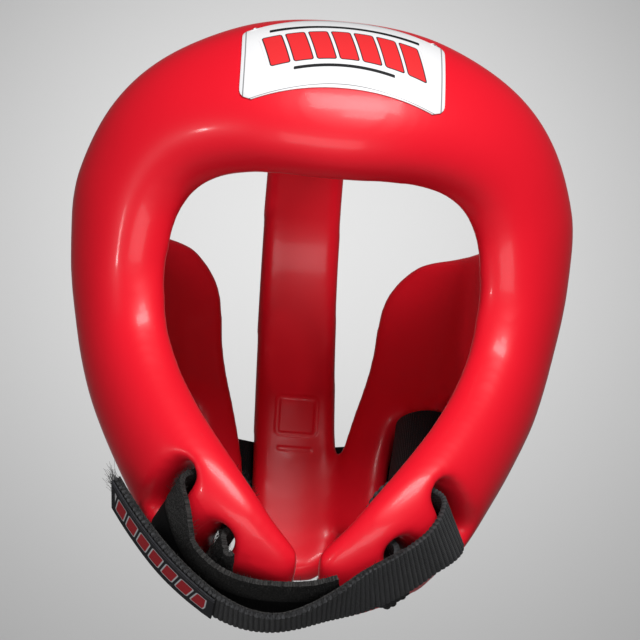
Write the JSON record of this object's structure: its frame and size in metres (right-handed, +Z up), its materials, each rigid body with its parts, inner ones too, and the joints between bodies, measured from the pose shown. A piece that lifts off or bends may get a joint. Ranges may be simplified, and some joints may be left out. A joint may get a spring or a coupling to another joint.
{
  "type": "head guard",
  "caption": "Open-face red moulded foam head guard with a crown band, side flaps, a webbing chin strap and a rear strap.",
  "frame": {"origin": "the point of the crown band's inner face where the crown of the head meets it", "axes": "+X is the wearer's left, +Y the back of the head and +Z up; the face opening looks along -Y"},
  "size_m": [0.216, 0.2363, 0.2707],
  "materials": {
    "moulded_foam": "bright red integral-skin foam, smooth and glossy, with soft wide reflections",
    "label_sheet": null,
    "chin_webbing": "black ribbed nylon webbing",
    "loop_webbing": "black hook-and-loop webbing with a fuzzy pile",
    "printed_patch": null,
    "rear_webbing": "wide matt black elastic webbing"
  },
  "bodies": {
    "root": {"shell": "moulded_foam", "forehead_label": "label_sheet", "chin_strap_long": "chin_webbing", "chin_strap_short": "loop_webbing", "strap_tab": "printed_patch", "rear_strap": "rear_webbing"}
  },
  "joints": []
}
